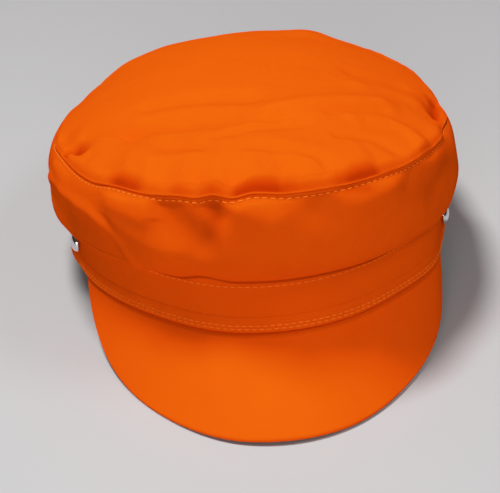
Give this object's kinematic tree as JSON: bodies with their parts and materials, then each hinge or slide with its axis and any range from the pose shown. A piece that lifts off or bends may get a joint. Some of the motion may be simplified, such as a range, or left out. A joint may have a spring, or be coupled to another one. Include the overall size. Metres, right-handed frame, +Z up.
{
  "type": "captain hat",
  "caption": "Soft cotton captain's cap: full domed crown puffing over a stitched band, bound lower edge, steep covered peak and domed side buttons.",
  "frame": {"origin": "middle of the hat's foot on the surface it rests on: the centre of its bounding box in plan, at its lowest height", "axes": "+Z up from the surface, -Y towards the peak, +X towards the right of the picture"},
  "size_m": [0.19, 0.2478, 0.109],
  "materials": {
    "cotton_twill": "matt orange cotton twill, fine weave, soft creases",
    "covered_board": "the same orange cotton drawn smooth over a stiff board",
    "chrome": "polished chrome"
  },
  "bodies": {
    "root": {"crown_top": "cotton_twill", "crown_side": "cotton_twill", "band": "cotton_twill", "band_binding": "cotton_twill", "visor": "covered_board", "button_left": "chrome", "button_right": "chrome"}
  },
  "joints": []
}
